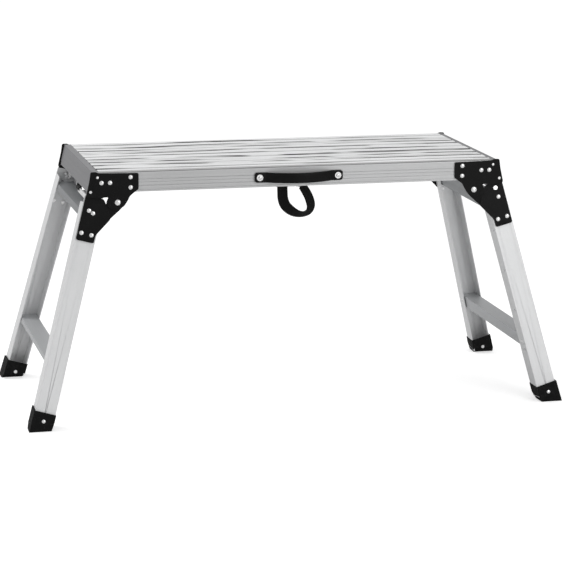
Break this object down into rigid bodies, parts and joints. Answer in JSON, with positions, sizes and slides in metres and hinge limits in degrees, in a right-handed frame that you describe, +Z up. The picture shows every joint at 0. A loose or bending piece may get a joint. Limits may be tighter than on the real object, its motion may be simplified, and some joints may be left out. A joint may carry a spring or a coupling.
{
  "type": "folding work platform bench",
  "caption": "Low folding work platform with a ribbed aluminium deck, splayed channel legs that fold beneath it, lock hooks, rubber boots and a carry handle.",
  "frame": {"origin": "centre of the footprint on the floor", "axes": "X along the deck, Y across it with the carry handle on -Y, Z up"},
  "size_m": [1.1188, 0.4686, 0.508],
  "materials": {
    "deck_aluminium": "brushed ribbed extrusion",
    "frame_aluminium": "brushed extrusion",
    "leg_aluminium": "brushed extrusion",
    "black_bracket": "black powder coat, satin",
    "boot_rubber": "moulded, matt",
    "handle_plastic": "moulded, satin",
    "webbing": "woven webbing",
    "grip_rubber": "moulded, matt",
    "washer_nylon": "natural nylon",
    "rivet_steel": "bright zinc plate",
    "lock_steel": "zinc plated steel"
  },
  "bodies": {
    "platform": {"deck_plank_front": "deck_aluminium", "deck_plank_middle": "deck_aluminium", "deck_plank_rear": "deck_aluminium", "side_rail_front": "frame_aluminium", "side_rail_rear": "frame_aluminium", "end_channel_left": "frame_aluminium", "end_channel_right": "frame_aluminium", "cross_stiffener_left": "frame_aluminium", "cross_stiffener_right": "frame_aluminium", "rail_bracket_front_left": "black_bracket", "rail_bracket_front_right": "black_bracket", "rail_bracket_rear_left": "black_bracket", "rail_bracket_rear_right": "black_bracket", "pivot_hangers": "black_bracket", "leg_pivots": "rivet_steel", "pivot_washers": "washer_nylon", "stop_studs": "rivet_steel", "bracket_rivets": "rivet_steel", "deck_rivets": "rivet_steel", "carry_handle": "handle_plastic", "handle_screws": "rivet_steel", "handle_washers": "rivet_steel", "handle_nuts": "rivet_steel", "storage_strap": "webbing", "strap_anchor": "rivet_steel", "lock_spring_left": "lock_steel", "lock_spring_right": "lock_steel"},
    "left_legs": {"leg_front_left": "leg_aluminium", "leg_rear_left": "leg_aluminium", "upper_crossmember_left": "leg_aluminium", "lower_brace_left": "leg_aluminium", "leg_bracket_front_left": "black_bracket", "leg_bracket_rear_left": "black_bracket", "foot_front_left": "boot_rubber", "foot_rear_left": "boot_rubber", "leg_rivets_left": "rivet_steel", "brace_rivets_left": "rivet_steel", "foot_rivets_left": "rivet_steel", "lock_studs_left": "rivet_steel"},
    "right_legs": {"leg_front_right": "leg_aluminium", "leg_rear_right": "leg_aluminium", "upper_crossmember_right": "leg_aluminium", "lower_brace_right": "leg_aluminium", "leg_bracket_front_right": "black_bracket", "leg_bracket_rear_right": "black_bracket", "foot_front_right": "boot_rubber", "foot_rear_right": "boot_rubber", "leg_rivets_right": "rivet_steel", "brace_rivets_right": "rivet_steel", "foot_rivets_right": "rivet_steel", "lock_studs_right": "rivet_steel"},
    "left_lock": {"lock_shaft_left": "lock_steel", "lock_hooks_left": "lock_steel", "release_lever_left": "lock_steel", "lever_grip_left": "grip_rubber"},
    "right_lock": {"lock_shaft_right": "lock_steel", "lock_hooks_right": "lock_steel", "release_lever_right": "lock_steel", "lever_grip_right": "grip_rubber"}
  },
  "joints": [
    {"name": "left_leg_fold", "type": "hinge", "parent": "platform", "child": "left_legs", "pos_m": [-0.37, 0, 0.446], "axis": [0, -1, 0], "range_deg": [0, 109], "deforming": ["storage_strap"]},
    {"name": "right_leg_fold", "type": "hinge", "parent": "platform", "child": "right_legs", "pos_m": [0.37, 0, 0.446], "axis": [0, 1, 0], "range_deg": [0, 101.4]},
    {"name": "left_lock_release", "type": "hinge", "parent": "platform", "child": "left_lock", "pos_m": [-0.412, 0, 0.4615], "axis": [0, -1, 0], "range_deg": [0, 20], "stiffness_Nm_per_rad": 0.15, "springref_deg": -34.38},
    {"name": "right_lock_release", "type": "hinge", "parent": "platform", "child": "right_lock", "pos_m": [0.412, 0, 0.4615], "axis": [0, 1, 0], "range_deg": [0, 20], "stiffness_Nm_per_rad": 0.15, "springref_deg": -34.38}
  ]
}
